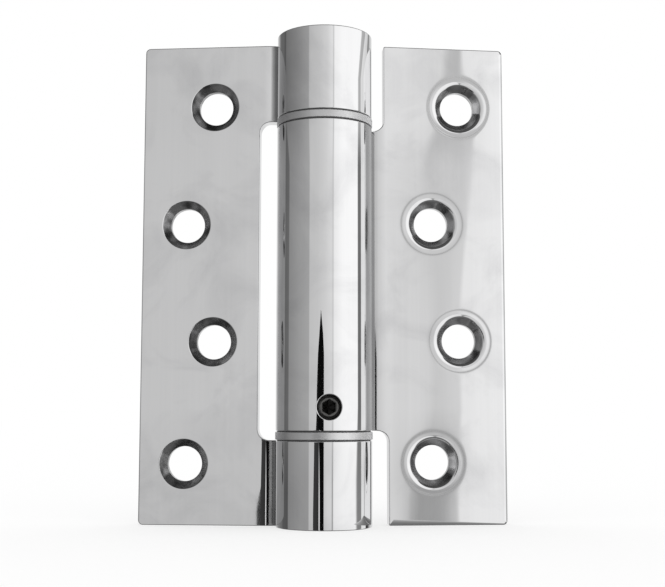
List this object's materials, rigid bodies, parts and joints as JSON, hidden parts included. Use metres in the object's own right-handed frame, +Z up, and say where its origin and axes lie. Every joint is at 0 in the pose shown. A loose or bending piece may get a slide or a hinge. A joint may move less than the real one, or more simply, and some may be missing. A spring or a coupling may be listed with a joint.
{
  "type": "spring hinge",
  "caption": "Single-action spring door hinge with countersunk leaves, a rolled barrel with bearing rings and a grub screw that locks the spring's tension.",
  "frame": {"origin": "on the pin axis, level with the lower edges of the leaves and the lower end of the barrel", "axes": "+Z up the pin axis; the frame leaf lies along -X; -Y is the side the countersinks open on"},
  "size_m": [0.0771, 0.0217, 0.1029],
  "materials": {
    "leaf_chrome": "mirror polished, slightly smudged",
    "ring_chrome": "polished",
    "plated_steel": "turned and plated",
    "screw_steel": "dark, fine turned",
    "spring_steel": "oiled, dark",
    "bush_brass": "turned",
    "liner_plastic": "matte",
    "washer_plastic": "matte"
  },
  "bodies": {
    "frame": {"frame_leaf": "leaf_chrome", "upper_spindle": "plated_steel", "lower_bush": "bush_brass", "lower_bearing_ring": "ring_chrome", "upper_bearing_ring": "ring_chrome", "lower_washer_below_ring": "washer_plastic", "lower_washer_above_ring": "washer_plastic", "upper_washer_below_ring": "washer_plastic", "upper_washer_above_ring": "washer_plastic", "torsion_spring": "spring_steel", "guide_rod": "plated_steel"},
    "door": {"door_leaf": "leaf_chrome", "upper_bush": "bush_brass", "spring_liner": "liner_plastic", "thrust_washer": "bush_brass"},
    "adjuster": {"tension_adjuster": "plated_steel"},
    "lock_screw": {"grub_screw": "screw_steel"}
  },
  "joints": [
    {"name": "leaf_swing", "type": "hinge", "parent": "frame", "child": "door", "pos_m": [0, 0, 0.051], "axis": [0, 0, 1], "range_deg": [-191.8, 133], "stiffness_Nm_per_rad": 0.785, "deforming": ["torsion_spring"]},
    {"name": "tension_setting", "type": "hinge", "parent": "door", "child": "adjuster", "pos_m": [0, 0, 0.0024], "axis": [0, 0, 1], "range_deg": [0, 360], "deforming": ["torsion_spring"]},
    {"name": "lock_screw_out", "type": "slide", "parent": "door", "child": "lock_screw", "axis": [0.2045, -0.9789, 0], "range_m": [0, 0.0015]}
  ]
}
